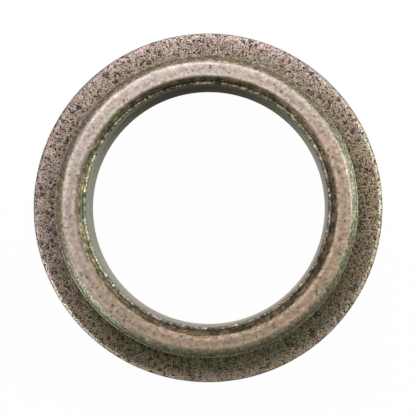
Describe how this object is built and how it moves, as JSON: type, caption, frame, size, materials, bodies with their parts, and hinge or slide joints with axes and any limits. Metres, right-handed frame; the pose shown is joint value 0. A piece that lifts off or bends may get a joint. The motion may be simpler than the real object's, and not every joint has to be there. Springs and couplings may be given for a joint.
{
  "type": "flanged bushing",
  "caption": "Flanged plain bushing of porous sintered bronze: a short sleeve with a chamfered running bore, and a thin round flange that seats on a housing and takes end thrust.",
  "frame": {"origin": "centre of the flange's back face, on the axis of the bore; the part stands on this face", "axes": "+Z along the bore's axis, from the flange towards the free end of the sleeve; X and Y are free, because the part is a solid of revolution"},
  "size_m": [0.03, 0.03, 0.02],
  "materials": {
    "sintered_bronze": "matt porous sintered bronze, with a smooth sized bore and open pores on the flange"
  },
  "bodies": {
    "root": {"bushing": "sintered_bronze"}
  },
  "joints": []
}
